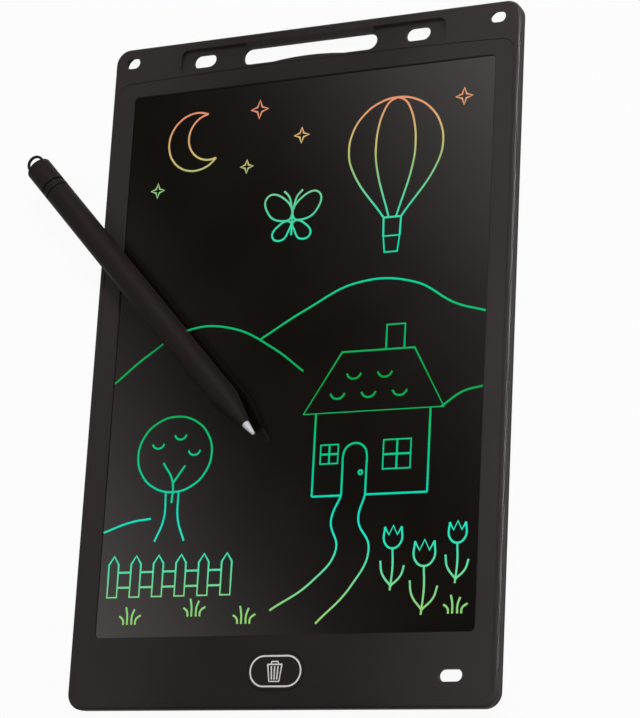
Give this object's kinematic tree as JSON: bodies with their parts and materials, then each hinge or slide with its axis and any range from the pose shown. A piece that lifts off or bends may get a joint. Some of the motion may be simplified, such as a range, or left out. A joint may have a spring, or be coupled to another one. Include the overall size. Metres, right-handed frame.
{
  "type": "lcd writing tablet",
  "caption": "Slim portrait writing tablet with a recessed screen, oval erase key, handle slots and stylus trough, its loose stylus lying across it.",
  "frame": {"origin": "centre of the tablet's flat back face", "axes": "+X across the screen to its right side, +Y up the screen to the handle end, +Z out of the screen"},
  "size_m": [0.1989, 0.253, 0.0149],
  "materials": {
    "case_plastic": "fine matte moulded charcoal ABS",
    "cover_plastic": "fine matte moulded charcoal ABS",
    "key_plastic": "matte charcoal cap with a printed ring and bin",
    "stylus_plastic": "satin black ABS",
    "nib_plastic": "white acetal",
    "screen_film": "semi-gloss clear PET over the dark layer",
    "crystal_film": "clear film with liquid crystal",
    "backing_print": "colour bands printed on film",
    "tape_black": "black adhesive tape",
    "board_foam": "white rigid foam sheet",
    "board_green": "solder mask",
    "chip_black": "moulded epoxy",
    "steel": "plated steel",
    "dome_steel": "stainless spring steel",
    "cell_steel": "nickel plated can",
    "contact_metal": "plated spring brass",
    "switch_plastic": "black moulded body",
    "knob_plastic": "matte charcoal ABS",
    "flex_film": "amber polyimide"
  },
  "bodies": {
    "case": {"front_frame": "case_plastic", "back_cover": "cover_plastic", "front_film": "screen_film", "crystal_layer": "crystal_film", "backing_film": "backing_print", "border_tape": "tape_black", "support_board": "board_foam", "circuit_board": "board_green", "board_chips": "chip_black", "board_screws": "steel", "snap_dome": "dome_steel", "coin_cell": "cell_steel", "top_contact": "contact_metal", "side_contact": "contact_metal", "lock_switch_body": "switch_plastic", "flex_tail": "flex_film"},
    "key": {"erase_key": "key_plastic"},
    "door": {"battery_door": "cover_plastic"},
    "screw": {"door_screw": "steel"},
    "lock": {"lock_knob": "knob_plastic"},
    "stylus": {"stylus_barrel": "stylus_plastic", "stylus_tail": "stylus_plastic", "stylus_cone": "stylus_plastic", "stylus_nib": "nib_plastic"}
  },
  "joints": [
    {"name": "erase_press", "type": "slide", "parent": "case", "child": "key", "axis": [0, 0, -1], "range_m": [0, 0.00025], "stiffness_N_per_m": 3000},
    {"name": "door_swing", "type": "hinge", "parent": "case", "child": "door", "pos_m": [0.0491, -0.1129, 0.00048], "axis": [0, -1, 0], "range_deg": [0, 25]},
    {"name": "screw_turn", "type": "hinge", "parent": "door", "child": "screw", "pos_m": [0.0233, -0.1129, 0.001], "axis": [0, 0, -1], "continuous": true},
    {"name": "lock_slide", "type": "slide", "parent": "case", "child": "lock", "axis": [1, 0, 0], "range_m": [0, 0.003]},
    {"name": "stylus_lift", "type": "slide", "parent": "case", "child": "stylus", "axis": [0, 0, 1], "range_m": [0, 0.05]}
  ]
}
